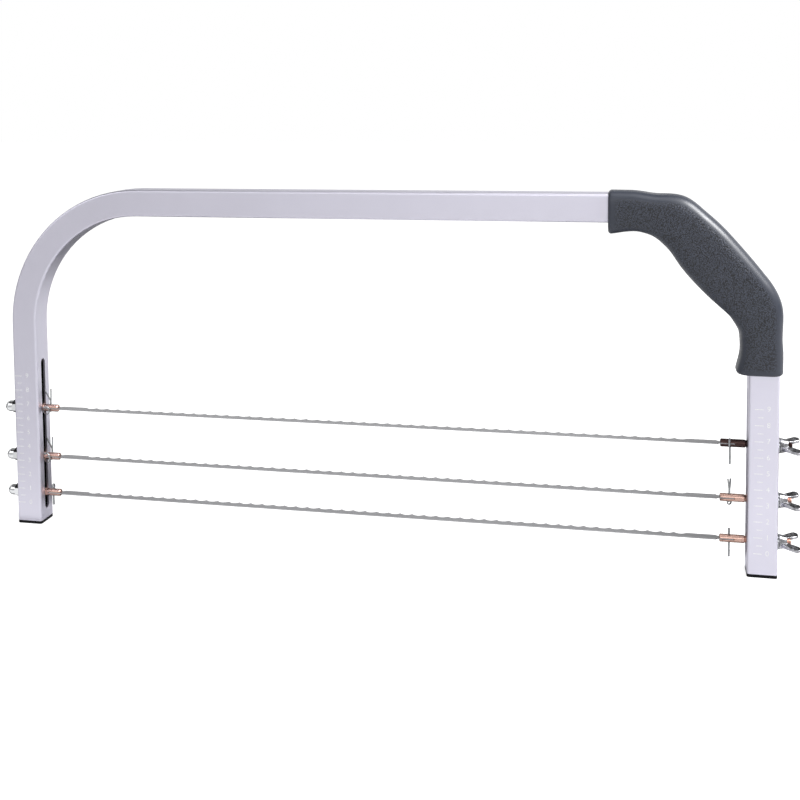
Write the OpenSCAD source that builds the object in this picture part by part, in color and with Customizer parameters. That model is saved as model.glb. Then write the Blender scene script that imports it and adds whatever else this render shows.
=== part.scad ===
// Adjustable cake leveler: a bow of bent square tube on two slotted legs, a moulded grip round
// one corner, and three serrated blades held flat between the legs at heights that can be set.
// +Z is up, X runs along the blades with the grip at +X, and Y is the depth. The origin lies on
// the plane that the feet stand on, in the middle of the whole part.

/* [Bow] */
// Length over the outer faces of the two legs
bow_l = 510; // [430:1:620]
// Height from the standing plane to the top of the bar
bow_h = 236; // [225:1:300]
// Outer width of the square tube
tube_w = 18; // [16:0.5:22]
// Wall of the square tube
tube_wall = 1.5; // [1:0.1:2.5]
// Radius along the four long edges of the tube
tube_edge_r = 1.6; // [0.5:0.1:2.5]
// Outer radius of the big bend above the left leg
bend_r = 94; // [60:1:105]
// Corner cut of the tube inside the grip, along the bar and along the leg
corner_cut = 63; // [48:1:70]
// Centre line radius of the two small bends inside the grip
corner_r = 36; // [24:1:40]

/* [Leg slots] */
// Gap between the rods and each side of the slots in the legs
slot_gap = 0.25; // [0.1:0.05:1]
// Height of the lower end of the slots
slot_low = 9; // [8:0.5:11]
// Height of the upper end of the slots
slot_high = 116; // [112:1:119]

/* [Foot caps] */
// Thickness of the cap below the tube
cap_t = 2; // [1.5:0.1:3]
// Wall of the hollow plug inside the tube
plug_wall = 1.6; // [1:0.1:2.4]
// Gap between the plug's ribs and the tube
plug_gap = 0.1; // [0.05:0.05:0.3]
// Depth of the grooves between the plug's ribs
plug_groove = 0.5; // [0.2:0.1:0.8]

/* [Grip] */
// How far the grip reaches along the bar from the outer face of the right leg
grip_bar_l = 102.5; // [95:0.5:120]
// How far the grip reaches down the right leg from the top of the bar
grip_leg_l = 110; // [108:0.5:113]
// Cover over the tube's front and back faces at the two ends
grip_side = 4.3; // [3.5:0.1:7]
// Extra cover on the front and back faces in the middle of the grip
grip_belly = 1.4; // [0:0.1:3]
// Rounding of the grip's two end faces
grip_end_r = 2; // [1:0.1:3]
// Exponent of the section: 2 is an ellipse, larger is squarer
grip_square = 3.6; // [2.5:0.1:6]
// Gap between the tube and the channel in the shells
grip_gap = 0.1; // [0.05:0.05:0.4]
// Gap at the seam between the two shells
seam_gap = 0.1; // [0.05:0.05:0.3]

/* [Grip screws] */
// Diameter of the screw shank
screw_d = 3; // [2.5:0.1:4]
// Diameter of the screw head
screw_head_d = 5.6; // [5:0.1:7]
// Height of the screw head
screw_head_h = 2; // [1.5:0.1:2.4]
// Diameter of the holes that the screws pass through in the tube
screw_hole_d = 3.4; // [3:0.1:4.5]
// Plastic left in front of the screw tips
screw_tip_wall = 2; // [1:0.1:3]

/* [Blades] */
// Height of the lowest blade
level_1 = 20.5; // [20:0.5:22]
// Height of the middle blade
level_2 = 46.5; // [45:0.5:48]
// Height of the upper blade
level_3 = 81; // [79:0.5:84]
// Thickness of the blades
blade_t = 0.6; // [0.5:0.05:0.8]
// Width of the blades over the points of the teeth
blade_w = 7; // [6:0.1:9]
// Width of the tangs at both ends
tang_w = 4.4; // [3.8:0.1:4.8]
// Distance from one tooth point to the next
tooth_pitch = 8; // [6:0.5:12]
// Depth of the scallops between the points
tooth_depth = 2; // [1:0.1:2.2]
// Flat land left at each tooth point
tooth_land = 0.6; // [0.3:0.1:1.5]
// Slope of the hollow grind inside the scallops, from the blade's face
grind_angle = 45; // [35:1:60]
// Plain length between the first tooth and the rod at each end
plain_l = 18; // [10:1:30]

/* [Rods] */
// Diameter of the rods that hold the blades
rod_d = 5; // [4.6:0.1:5.1]
// Length of the left rods between the leg and the blade
left_reach = 11; // [10:0.5:20]
// Length of the right rods between the leg and the blade
right_reach = 16; // [12:0.5:20]
// Depth of the sawn slot that takes the blade's tang
saw_depth = 9; // [8:0.5:10]
// Gap above and below the tang in the sawn slot
saw_gap = 0.1; // [0.05:0.05:0.2]
// Chamfer round the rod ends
rod_chamfer = 0.5; // [0.2:0.1:0.8]

/* [Cotter pins] */
// Diameter of the wire of one leg
wire_d = 0.8; // [0.6:0.1:1]
// Distance from the rod's end to the pin
pin_inset = 5.8; // [5:0.1:6.5]
// Gap between the pin and its hole
pin_gap = 0.1; // [0.05:0.05:0.2]
// Inner radius of the pin's eye
eye_r = 1.3; // [1:0.1:1.8]
// Length of the pin's legs beyond the rod
pin_leg_l = 9; // [7:0.5:9]

/* [Nuts and washers] */
// Outer diameter of the washers
washer_d = 10; // [8:0.5:12]
// Thickness of the washers
washer_t = 1; // [0.8:0.1:1.5]
// Gap between the hole of a washer or nut and its rod
nut_gap = 0.05; // [0.02:0.01:0.1]
// Gap between the washer and the faces on either side of it
seat_gap = 0.05; // [0.02:0.01:0.3]
// Width over the flats of the acorn nuts
acorn_s = 8; // [7:0.5:9]
// Height of the acorn nuts
acorn_h = 10; // [9:0.5:12]
// Height of the hexagon of the acorn nuts
acorn_hex_h = 4; // [3:0.5:5]
// Height of the wing nuts
wing_h = 12.4; // [11:0.1:14]
// Width over the tips of the wings
wing_span = 20; // [18:0.5:20.4]
// Thickness of the wings at the hub
wing_t = 2.4; // [1.8:0.1:2.6]
// Thickness of the wings at their tips
wing_tip_t = 1.7; // [1.2:0.1:2.2]
// Angle of the wings at rest, from the Y axis
wing_turn = 14; // [0:1:90]

/* [Hidden] */
$fn = 48;
LEVELS = [["lower", level_1], ["middle", level_2], ["upper", level_3]];
// Which way up each pin is, how far it is turned about itself and how far its legs are spread,
// for the left and the right pin of each level
PINS = [
    [[-1, 90, 5], [-1, 90, 4]],
    [[1, 0, 12], [1, 20, 9]],
    [[1, 0, 13], [-1, 70, 4]],
];
CARRIED = ["blade", "left_rod", "right_rod", "left_cotter_pin", "right_cotter_pin",
           "left_washer", "acorn_nut", "right_washer", "wing_nut"];

inner_w = tube_w - 2 * tube_wall;
tube_inner_r = 0.5;
left_out = washer_t + acorn_h + 2 * seat_gap;
right_out = washer_t + wing_h + 2 * seat_gap;
// Outer face of the left leg, set so that the whole part is centred on X = 0
left_x = -(bow_l + right_out - left_out) / 2;
right_x = left_x + bow_l;
bar_z = bow_h - tube_w / 2;
leg_x = right_x - tube_w / 2;
rod_left_end = left_x + tube_w + left_reach;
rod_right_end = right_x - tube_w - right_reach;

corner_tan = corner_r * tan(22.5);
bend_in_x = leg_x - corner_cut - corner_tan;
bend_out_z = bar_z - corner_cut - corner_tan;
diagonal_l = corner_cut * sqrt(2) - 2 * corner_tan;
slot_w = rod_d + 2 * slot_gap;
slot_run = slot_high - slot_low - slot_w;
cut_over = 1;
plug_below_slot = 0.5;
plug_h = slot_low - cap_t - plug_below_slot;
plug_ribs = 3;
rib_h = plug_h / (2 * plug_ribs - 1);

// Stations at equal steps along the grip, from the bar end to the leg end: how far the plastic
// stands out over the tube on the outer side and on the finger side
GRIP_OUTER = [1.7, 1.6, 1.6, 8.0, 9.5, 10.1, 9.5, 8.5, 7.1, 5.4, 1.8, 2.2, 2.2];
GRIP_FINGER = [7.5, 5.7, 5.6, 5.1, 4.9, 7.2, 8.2, 8.2, 7.5, 7.1, 5.6, 5.0, 7.6];
SCREW_SHARES = [0.08, 0.5, 0.87];
head_sink = 0.6;
head_gap = 0.2;
shank_gap = 0.1;
tip_gap = 0.3;
grip_rings = 36;
grip_sides = 40;
end_steps = 3;
channel_steps = 12;
grip_x = right_x - grip_bar_l;
grip_z = bow_h - grip_leg_l;
corner_arc = corner_r * PI / 4;
grip_s1 = bend_in_x - grip_x;
grip_s2 = grip_s1 + corner_arc;
grip_s3 = grip_s2 + diagonal_l;
grip_s4 = grip_s3 + corner_arc;
grip_path = grip_s4 + bend_out_z - grip_z;

tang_end_gap = 0.5;
shoulder_gap = 1;
blade_left = rod_left_end - saw_depth + tang_end_gap;
blade_right = rod_right_end + saw_depth - tang_end_gap;
shoulder = (blade_w - tang_w) / 2;
tooth_zone = rod_right_end - rod_left_end - 2 * plain_l;
tooth_count = floor(tooth_zone / tooth_pitch);
first_tooth = rod_left_end + plain_l + (tooth_zone - (tooth_count - 1) * tooth_pitch) / 2;
scallop_chord = tooth_pitch - tooth_land;
scallop_rise = tooth_depth * sin(grind_angle);
scallop_r = (scallop_chord * scallop_chord / 4 + scallop_rise * scallop_rise) / (2 * scallop_rise);
scallop_h = 2 * (scallop_r / tan(grind_angle) + 3 * blade_t / sin(grind_angle));

pin_left_x = rod_left_end - pin_inset;
pin_right_x = rod_right_end + pin_inset;
shank_d = 1.9 * wire_d;
leg_offset = 0.4 * wire_d;
pin_hole_d = shank_d + 2 * pin_gap;
eye_sink = 0.3;
washer_gap = 0.15;
washer_hole_d = rod_d + 2 * washer_gap;
nut_bore_r = rod_d / 2 + nut_gap;
hex_chamfer_r = acorn_s / 2 + 0.1;
dome_r = 0.47 * acorn_s;
acorn_bore_l = 0.75 * acorn_h;
hub_h = 0.4 * wing_h;
hub_base_r = 0.47 * washer_d;
hub_top_r = 0.8 * hub_base_r;
wing_tip_r = 0.21 * wing_h;
wing_root_r = 0.36 * hub_h;
wing_root_sink = 0.4;
rod_tip_gap = 0.5;
rod_show = 2.4;
rod_left_out = left_x - 2 * seat_gap - washer_t - acorn_bore_l + rod_tip_gap;
rod_right_out = right_x + 2 * seat_gap + washer_t + hub_h + rod_show;

// Value of a smooth curve through evenly spaced stations v, at share f of its length
function station(v, f) =
    let (n = len(v) - 1, i = min(floor(f * n), n - 1), u = f * n - i,
         a = v[max(i - 1, 0)], b = v[i], c = v[i + 1], d = v[min(i + 2, n)])
    0.5 * (2 * b + (c - a) * u + (2 * a - 5 * b + 4 * c - d) * u * u
           + (3 * b - a - 3 * c + d) * u * u * u);

// Point on the tube's centre line and its heading below +X, at length s along the grip
function grip_point(s) =
    s < grip_s1 ? [grip_x + s, bar_z, 0]
    : s < grip_s2 ? let (h = (s - grip_s1) / corner_arc * 45)
        [bend_in_x + corner_r * sin(h), bar_z - corner_r * (1 - cos(h)), h]
    : s < grip_s3 ? let (t = corner_tan + s - grip_s2)
        [leg_x - corner_cut + t * cos(45), bar_z - t * sin(45), 45]
    : s < grip_s4 ? let (h = 45 + (s - grip_s3) / corner_arc * 45)
        [leg_x - corner_r * (1 - sin(h)), bend_out_z + corner_r * cos(h), h]
    : [leg_x, bend_out_z - (s - grip_s4), 90];

function grip_half_depth(f) = tube_w / 2 + grip_side + grip_belly * sin(180 * f);

function squircle(a, n) = [sign(cos(a)) * pow(abs(cos(a)), 2 / n),
                           sign(sin(a)) * pow(abs(sin(a)), 2 / n)];

// One closed section of the grip at length s, drawn in by inset all round
function grip_ring(s, inset) =
    let (f = s / grip_path, p = grip_point(s), depth = grip_half_depth(f) - inset,
         outer = tube_w / 2 + station(GRIP_OUTER, f) - inset,
         finger = tube_w / 2 + station(GRIP_FINGER, f) - inset)
    [for (j = [0 : grip_sides - 1])
        let (q = squircle(360 * j / grip_sides, grip_square),
             r = q[0] > 0 ? q[0] * outer : q[0] * finger)
        [p[0] + r * sin(p[2]), depth * q[1], p[1] + r * cos(p[2])]];

// Square of width w with corners of radius r
module rounded_square(w, r) {
    square([w - 2 * r, w], center = true);
    square([w, w - 2 * r], center = true);
    for (sx = [-1, 1], sy = [-1, 1])
        translate([sx * (w / 2 - r), sy * (w / 2 - r)]) circle(r = r);
}

// Two circles joined by their outer tangents
module linked_circles(c1, r1, c2, r2) {
    d = c2 - c1;
    turn = atan2(d[1], d[0]);
    lean = acos((r1 - r2) / norm(d));
    up = [cos(turn + lean), sin(turn + lean)];
    down = [cos(turn - lean), sin(turn - lean)];
    translate(c1) circle(r = r1);
    translate(c2) circle(r = r2);
    polygon([c1 + r1 * up, c1 + r1 * down, c2 + r2 * down, c2 + r2 * up]);
}

// Bends its child, a section centred on the origin, round Y at radius r, from the X axis upwards
module bend(r, angle) {
    rotate_extrude(angle = angle) translate([r, 0]) children();
}

// Runs its child straight on from the start of a bend of radius r, tangent to it
module straight(r, l) {
    translate([r, 0, 0]) rotate([90, 0, 0]) linear_extrude(l) children();
}

// Sweeps its child, a section centred on the origin, along the whole tube
module along_bow(foot_z) {
    translate([left_x + bend_r, 0, bow_h - bend_r]) rotate([90, 0, 0]) {
        rotate([0, 0, 90]) bend(bend_r - tube_w / 2, 90) children();
        rotate([0, 0, 90]) straight(bend_r - tube_w / 2, bend_in_x - left_x - bend_r) children();
        rotate([180, 0, 180]) straight(bend_r - tube_w / 2, bow_h - bend_r - foot_z) children();
    }
    translate([bend_in_x, 0, bar_z - corner_r]) rotate([90, 0, 0]) rotate([0, 0, 45]) {
        bend(corner_r, 45) children();
        straight(corner_r, diagonal_l) children();
        translate([0, -diagonal_l, 0]) rotate([0, 0, -45]) {
            bend(corner_r, 45) children();
            straight(corner_r, bend_out_z - foot_z) children();
        }
    }
}

// Cutter for the slots through the inner and outer wall of the leg at x
module leg_slot(x) {
    cut = tube_w + 2 * cut_over;
    translate([x - cut / 2, -slot_w / 2, slot_low + slot_w / 2]) cube([cut, slot_w, slot_run]);
    for (z = [slot_low + slot_w / 2, slot_high - slot_w / 2])
        translate([x - cut / 2, 0, z]) rotate([0, 90, 0]) cylinder(d = slot_w, h = cut);
}

// Places its child at each grip screw, with its Z axis pointing out of the rear face
module at_screws() {
    for (f = SCREW_SHARES) {
        p = grip_point(f * grip_path);
        depth = grip_half_depth(f);
        translate([p[0], 0, p[1]]) rotate([-90, 0, 0]) {
            $screw_face = depth;
            children();
        }
    }
}

module frame_tube() {
    color("silver") difference() {
        along_bow(cap_t) rounded_square(tube_w, tube_edge_r);
        along_bow(cap_t - cut_over) rounded_square(inner_w, tube_inner_r);
        leg_slot(left_x + tube_w / 2);
        leg_slot(leg_x);
        at_screws() cylinder(d = screw_hole_d, h = tube_w + 2 * cut_over, center = true);
    }
}

// Cap under a leg: a plate of the tube's outline and a hollow plug with three ribs
module foot_cap(x) {
    color("#202022") translate([x, 0, 0]) difference() {
        union() {
            linear_extrude(cap_t) rounded_square(tube_w, tube_edge_r);
            translate([0, 0, cap_t]) linear_extrude(plug_h)
                rounded_square(inner_w - 2 * plug_gap - 2 * plug_groove, tube_inner_r);
            for (i = [0 : plug_ribs - 1])
                translate([0, 0, cap_t + 2 * i * rib_h]) linear_extrude(rib_h)
                    rounded_square(inner_w - 2 * plug_gap, tube_inner_r);
        }
        translate([0, 0, cap_t]) linear_extrude(plug_h + cut_over)
            rounded_square(inner_w - 2 * (plug_gap + plug_groove + plug_wall), tube_inner_r);
    }
}

module left_foot_cap() {
    foot_cap(left_x + tube_w / 2);
}

module right_foot_cap() {
    foot_cap(leg_x);
}

// The whole grip as one lofted body whose section changes along the tube
module grip_body() {
    ends = [for (k = [0 : end_steps])
        [grip_end_r * (1 - cos(90 * k / end_steps)), grip_end_r * (1 - sin(90 * k / end_steps))]];
    run = grip_path - 2 * grip_end_r;
    rings = concat(
        [for (e = ends) grip_ring(e[0], e[1])],
        [for (i = [1 : grip_rings - 1]) grip_ring(grip_end_r + run * i / grip_rings, 0)],
        [for (k = [end_steps : -1 : 0]) grip_ring(grip_path - ends[k][0], ends[k][1])]);
    last = len(rings) - 1;
    n = grip_sides;
    polyhedron(
        points = [for (ring = rings, p = ring) p],
        faces = concat(
            [[for (j = [0 : n - 1]) j]],
            [for (i = [0 : last - 1], j = [0 : n - 1])
                [i * n + j, i * n + n + j, i * n + (j + 1) % n]],
            [for (i = [0 : last - 1], j = [0 : n - 1])
                [i * n + (j + 1) % n, i * n + n + j, i * n + n + (j + 1) % n]],
            [[for (j = [n - 1 : -1 : 0]) last * n + j]]));
}

// Square channel of width w that follows the tube through the whole grip
module tube_channel(w) {
    way = concat(
        [-cut_over],
        [for (k = [0 : channel_steps]) grip_s1 + corner_arc * k / channel_steps],
        [for (k = [0 : channel_steps]) grip_s3 + corner_arc * k / channel_steps],
        [grip_path + cut_over]);
    sides = [for (side = [1, -1]) [for (s = way)
        let (p = grip_point(s)) [p[0], p[1]] + side * w / 2 * [sin(p[2]), cos(p[2])]]];
    last = len(way) - 1;
    rotate([90, 0, 0]) linear_extrude(w, center = true)
        polygon(concat(sides[0], [for (k = [last : -1 : 0]) sides[1][k]]));
}

// One shell of the grip: side is -1 for the front one and 1 for the rear one
module grip_shell(side) {
    big = 2 * bow_h;
    difference() {
        grip_body();
        translate([leg_x - big / 2, side > 0 ? -big + seam_gap / 2 : -seam_gap / 2, 0])
            cube([big, big, big]);
        tube_channel(tube_w + 2 * grip_gap);
        at_screws() screw_cut();
    }
}

// What one screw takes out of the two shells: its hole and the recess over its head
module screw_cut() {
    seat = $screw_face - screw_head_h - head_sink;
    tip = screw_tip_wall - $screw_face;
    translate([0, 0, tip - tip_gap])
        cylinder(d = screw_d + 2 * shank_gap, h = seat - tip + 2 * tip_gap);
    translate([0, 0, seat])
        cylinder(d = screw_head_d + 2 * head_gap, h = screw_head_h + head_sink + cut_over);
}

module handle_front_shell() {
    color("#4b4e58") grip_shell(-1);
}

module handle_rear_shell() {
    color("#4b4e58") grip_shell(1);
}

module handle_screws() {
    color("#8c9096") at_screws() {
        seat = $screw_face - screw_head_h - head_sink;
        tip = screw_tip_wall - $screw_face;
        rotate_extrude() polygon([
            [0, tip], [screw_d / 4, tip], [screw_d / 2, tip + screw_d], [screw_d / 2, seat],
            [screw_head_d / 2, seat], [screw_head_d / 2, seat + 0.6 * screw_head_h],
            [0.4 * screw_head_d, seat + screw_head_h], [0, seat + screw_head_h]]);
    }
}

// Serrated strip with narrow tangs, scallops along the rear edge and their grind on the upper face
module blade(i) {
    body_left = rod_left_end + shoulder_gap;
    body_right = rod_right_end - shoulder_gap;
    half = blade_w / 2;
    color("#a9abae") translate([0, 0, LEVELS[i][1]]) difference() {
        translate([0, 0, -blade_t / 2]) linear_extrude(blade_t) polygon([
            [blade_left, -tang_w / 2], [body_left, -tang_w / 2], [body_left + shoulder, -half],
            [body_right - shoulder, -half], [body_right, -tang_w / 2], [blade_right, -tang_w / 2],
            [blade_right, tang_w / 2], [body_right, tang_w / 2], [body_right - shoulder, half],
            [body_left + shoulder, half], [body_left, tang_w / 2], [blade_left, tang_w / 2]]);
        for (k = [0 : tooth_count - 1])
            translate([first_tooth + k * tooth_pitch,
                       half - tooth_depth + scallop_r / sin(grind_angle), blade_t / 2])
                rotate([90 - grind_angle, 0, 0])
                cylinder(r = scallop_r, h = scallop_h, center = true);
        for (x = [pin_left_x, pin_right_x])
            translate([x, 0, -cut_over]) cylinder(d = pin_hole_d, h = 2 * cut_over);
    }
}

// Rod along X from the inner end to the outer end, with chamfered ends, a sawn slot and a pin hole
module rod(i, x_in, x_out, pin_x) {
    way = sign(x_out - x_in);
    saw_w = blade_t + 2 * saw_gap;
    l = abs(x_out - x_in);
    translate([x_in, 0, LEVELS[i][1]]) difference() {
        rotate([0, way * 90, 0]) rotate_extrude() polygon([
            [0, 0], [rod_d / 2 - rod_chamfer, 0], [rod_d / 2, rod_chamfer],
            [rod_d / 2, l - rod_chamfer], [rod_d / 2 - rod_chamfer, l], [0, l]]);
        translate([way > 0 ? -cut_over : -saw_depth, -rod_d, -saw_w / 2])
            cube([saw_depth + cut_over, 2 * rod_d, saw_w]);
        translate([pin_x - x_in, 0, -rod_d]) cylinder(d = pin_hole_d, h = 2 * rod_d);
    }
}

module left_rod(i) {
    color("#c98b6c") rod(i, rod_left_end, rod_left_out, pin_left_x);
}

module right_rod(i) {
    color("#c98b6c") rod(i, rod_right_end, rod_right_out, pin_right_x);
}

// Split pin: an eye on one side of the rod, a round shank through it and two spread legs beyond
module cotter_pin(i, x, pin) {
    ring_r = eye_r + wire_d / 2;
    face = rod_d / 2;
    color("#8f9296") translate([x, 0, LEVELS[i][1]]) rotate([0, 0, pin[1]])
        mirror([0, 0, pin[0] < 0 ? 1 : 0]) {
            translate([0, 0, -face - eye_sink - ring_r]) rotate([90, 0, 0])
                rotate_extrude() translate([ring_r, 0]) circle(d = wire_d);
            translate([0, 0, -face - wire_d / 2]) cylinder(d = shank_d, h = 2 * face + wire_d / 2);
            for (side = [-1, 1])
                translate([side * leg_offset, 0, face - wire_d / 2]) rotate([0, side * pin[2], 0])
                    cylinder(d = wire_d, h = pin_leg_l + wire_d / 2);
        }
}

module left_cotter_pin(i) {
    cotter_pin(i, pin_left_x, PINS[i][0]);
}

module right_cotter_pin(i) {
    cotter_pin(i, pin_right_x, PINS[i][1]);
}

module washer(i, x) {
    color("#c9ccd1") translate([x, 0, LEVELS[i][1]]) rotate([0, 90, 0]) difference() {
        cylinder(d = washer_d, h = washer_t);
        translate([0, 0, -cut_over]) cylinder(d = washer_hole_d, h = washer_t + 2 * cut_over);
    }
}

module left_washer(i) {
    washer(i, left_x - seat_gap - washer_t);
}

module right_washer(i) {
    washer(i, right_x + seat_gap);
}

// Closed dome nut on the left rod, its hexagon chamfered at both faces
module acorn_nut(i) {
    wide_r = hex_chamfer_r + acorn_hex_h;
    color("#c9ccd1") translate([left_x - 2 * seat_gap - washer_t, 0, LEVELS[i][1]])
        rotate([0, -90, 0]) difference() {
            union() {
                intersection() {
                    cylinder(r = acorn_s / 2 / cos(30), h = acorn_hex_h, $fn = 6);
                    cylinder(r1 = hex_chamfer_r, r2 = wide_r, h = acorn_hex_h);
                    cylinder(r1 = wide_r, r2 = hex_chamfer_r, h = acorn_hex_h);
                }
                cylinder(r = dome_r, h = acorn_h - dome_r);
                translate([0, 0, acorn_h - dome_r]) sphere(r = dome_r);
            }
            translate([0, 0, -cut_over]) cylinder(r = nut_bore_r, h = acorn_bore_l + cut_over);
        }
}

// One wing of a wing nut, standing along X in the nut's own frame and thinner towards its tip
module wing() {
    root = [hub_top_r - wing_root_sink, hub_h / 2];
    tip = [wing_span / 2 - wing_tip_r, wing_h - wing_tip_r];
    slope = (wing_t - wing_tip_t) / 2 / (wing_span / 2 - root[0]);
    end_x = wing_span / 2 + cut_over;
    end_y = wing_tip_t / 2 - slope * cut_over;
    intersection() {
        rotate([90, 0, 0]) translate([0, 0, -wing_t]) linear_extrude(2 * wing_t)
            linked_circles(root, wing_root_r, tip, wing_tip_r);
        translate([0, 0, -cut_over]) linear_extrude(wing_h + 2 * cut_over) polygon([
            [0, -wing_t / 2], [root[0], -wing_t / 2], [end_x, -end_y],
            [end_x, end_y], [root[0], wing_t / 2], [0, wing_t / 2]]);
    }
}

// Wing nut on the right rod: a tapered hub and two flared wings
module wing_nut(i) {
    color("#c9ccd1") translate([right_x + 2 * seat_gap + washer_t, 0, LEVELS[i][1]])
        rotate([0, 90, 0]) difference() {
            union() {
                cylinder(r1 = hub_base_r, r2 = hub_top_r, h = hub_h);
                for (side = [0, 180]) rotate([0, 0, wing_turn - 90 + side]) wing();
            }
            translate([0, 0, -cut_over]) cylinder(r = nut_bore_r, h = wing_h + 2 * cut_over);
        }
}

frame_tube();
left_foot_cap();
right_foot_cap();
handle_front_shell();
handle_rear_shell();
handle_screws();
for (i = [0 : len(LEVELS) - 1]) {
    name = LEVELS[i][0];
    blade(i);
    left_rod(i);
    right_rod(i);
    left_cotter_pin(i);
    right_cotter_pin(i);
    left_washer(i);
    acorn_nut(i);
    right_washer(i);
    wing_nut(i);
}
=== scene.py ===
"""Looks of an adjustable cake leveler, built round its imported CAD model.

A bow of bent square aluminium tube stands on two slotted legs, with a pebbled grip round one
corner. Three scalloped blades lie flat between the legs, on copper-plated rods with split pins.
"""

import math

import bmesh
import bpy
from bpy.props import FloatProperty, FloatVectorProperty, IntProperty, PointerProperty
from mathutils import Matrix, Vector


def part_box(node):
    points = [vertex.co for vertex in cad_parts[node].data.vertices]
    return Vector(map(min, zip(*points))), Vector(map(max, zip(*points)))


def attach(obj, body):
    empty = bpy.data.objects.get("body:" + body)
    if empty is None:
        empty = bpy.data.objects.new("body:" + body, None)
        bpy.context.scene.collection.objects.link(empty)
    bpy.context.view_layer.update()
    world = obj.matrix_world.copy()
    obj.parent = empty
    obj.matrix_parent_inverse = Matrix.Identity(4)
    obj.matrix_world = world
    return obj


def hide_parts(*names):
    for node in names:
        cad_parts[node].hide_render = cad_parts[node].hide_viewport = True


bl_info = {
    "name": "Cake Leveler Looks",
    "version": (1, 0, 0),
    "blender": (4, 5, 0),
    "location": "View3D > Sidebar > Leveler",
    "description": "Models and finishes the visible pieces of an adjustable cake leveler",
    "category": "Object",
}

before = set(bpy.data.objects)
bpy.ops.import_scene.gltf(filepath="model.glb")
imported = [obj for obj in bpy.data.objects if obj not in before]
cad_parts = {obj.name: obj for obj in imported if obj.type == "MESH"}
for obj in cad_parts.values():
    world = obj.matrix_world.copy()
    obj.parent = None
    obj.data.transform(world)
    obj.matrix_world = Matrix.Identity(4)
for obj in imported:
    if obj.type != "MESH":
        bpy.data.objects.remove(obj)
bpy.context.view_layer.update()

MM = 0.001
BOW = "bow"
LEVELS = ("lower", "middle", "upper")
SIDES = ("left", "right")
TUBE_LOW, TUBE_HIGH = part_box("frame_tube")
CAP_LOW, CAP_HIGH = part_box("right_foot_cap")
GRIP_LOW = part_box("handle_front_shell")[0]
TUBE_W = CAP_HIGH.x - CAP_LOW.x
LEG_X = (CAP_LOW.x + CAP_HIGH.x) / 2
LEFT_LEG_X = TUBE_LOW.x + TUBE_W / 2
BAR_Z = TUBE_HIGH.z - TUBE_W / 2
# How far below its faces the painted shade of the tube's inside starts, and how high it shows in
# the legs
INSIDE_SHADE_DEPTH = 1.4 * MM
INSIDE_SHADE_H = 140 * MM
# Where along X the blades' painted dark reflection starts and is full
BLADE_DARK_REFLECTION_X = (150 * MM, 225 * MM)

# How far the grip stands out over the tube, at equal steps from the bar end to the leg end, in mm
GRIP_OUTER = (1.7, 1.6, 1.6, 8.0, 9.5, 10.1, 9.5, 8.5, 7.1, 5.4, 1.8, 2.2, 2.2)
GRIP_FINGER = (7.5, 5.7, 5.6, 5.1, 4.9, 7.2, 8.2, 8.2, 7.5, 7.1, 5.6, 5.0, 7.6)
# Where the grip's pebble grain starts and is full, in mm from the bar end, the leg end, the outer
# edge and the finger edge
GRAIN_MARGINS = ((3, 6), (2, 5), (3.5, 6.5), (1.5, 4))
GRIP_BEND = math.pi / 4
CHANNEL_GAP = 0.1 * MM
CHANNEL_SQUARE = 12
CHANNEL_RINGS = 40

# Where the grip's screws stand, as shares of its length
SCREW_SHARES = (0.08, 0.5, 0.87)
RECESS_R = 3.0 * MM
RECESS_DEPTH = 2.6 * MM
HEAD_R = 2.8 * MM
SHANK_R = 1.5 * MM
TIP_WALL = 2 * MM
CROSS_R = 1.6 * MM
CROSS_W = 0.7 * MM

# The scale: its step, its number of ticks, and how far in from each leg's left edge the long
# ticks start and the numerals have their middles
HALF_CM = 5 * MM
TICKS = 19
MARKS_AT = {"left": (1.0 * MM, 10.3 * MM), "right": (3.6 * MM, 11.8 * MM)}

# The rods' plain length from the sawn end, and the depth of the saw cut
ROD_PLAIN = {"left": 10.5 * MM, "right": 15 * MM}
SAW_DEPTH = 9 * MM
WASHER_BORE_R = 2.65 * MM
NUT_BORE_R = 2.55 * MM
HUB_D = 10 * MM
WING_REACH = 10 * MM
# Gap between the two half-round legs of a split pin
SPLIT_GAP = 0.04 * MM

# Each split pin: turn about itself, leg length in mm, lean of its two legs, how far the eye is
# pulled across, forward and back along the pin in mm, the eye's width and height in mm with its
# slant, and 1 where the legs point up
PINS = {
    "lower_left": (84, 6.5, (0, 3), (0.3, 0, 0.5), (2.2, 3.2, 0), -1),
    "lower_right": (90, 9.0, (2, 4), (0, 0, 0.2), (2.4, 3.4, 0), -1),
    "middle_left": (-8, 11.2, (30, 2), (-2.4, 3.4, 6.2), (4.4, 7.2, -20), 1),
    "middle_right": (35, 9.4, (9, 5), (0, 0, 1.4), (2.4, 2.8, 0), 1),
    "upper_left": (0, 11.2, (31, 1), (-2.0, 3.3, 4.6), (3.8, 5.4, -15), 1),
    "upper_right": (82, 10.8, (1, 5), (-3.6, 0, 4.2), (2.8, 4.6, 0), -1),
}

# What the floor and the surround show to the camera, and to the rest of the scene
FLOOR_SEEN, FLOOR_GLOW, FLOOR_UNSEEN = 0.42, 0.80, 0.62
WORLD_SEEN, WORLD_UNSEEN = 1.0, 0.62
MIDDLE = (0, 0, 0.12)
# Each lamp: name, place, target, width and height in metres, and power in watts
LAMPS = (
    ("key", (0.15, -1.7, 0.85), MIDDLE, 1.0, 0.8, 5),
    ("fill", (-1.3, -1.0, 0.9), MIDDLE, 1.0, 1.0, 4),
    ("edge", (1.15, -0.08, 1.2), (0.2, 0, 0.2), 0.6, 0.5, 30),
)
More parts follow.
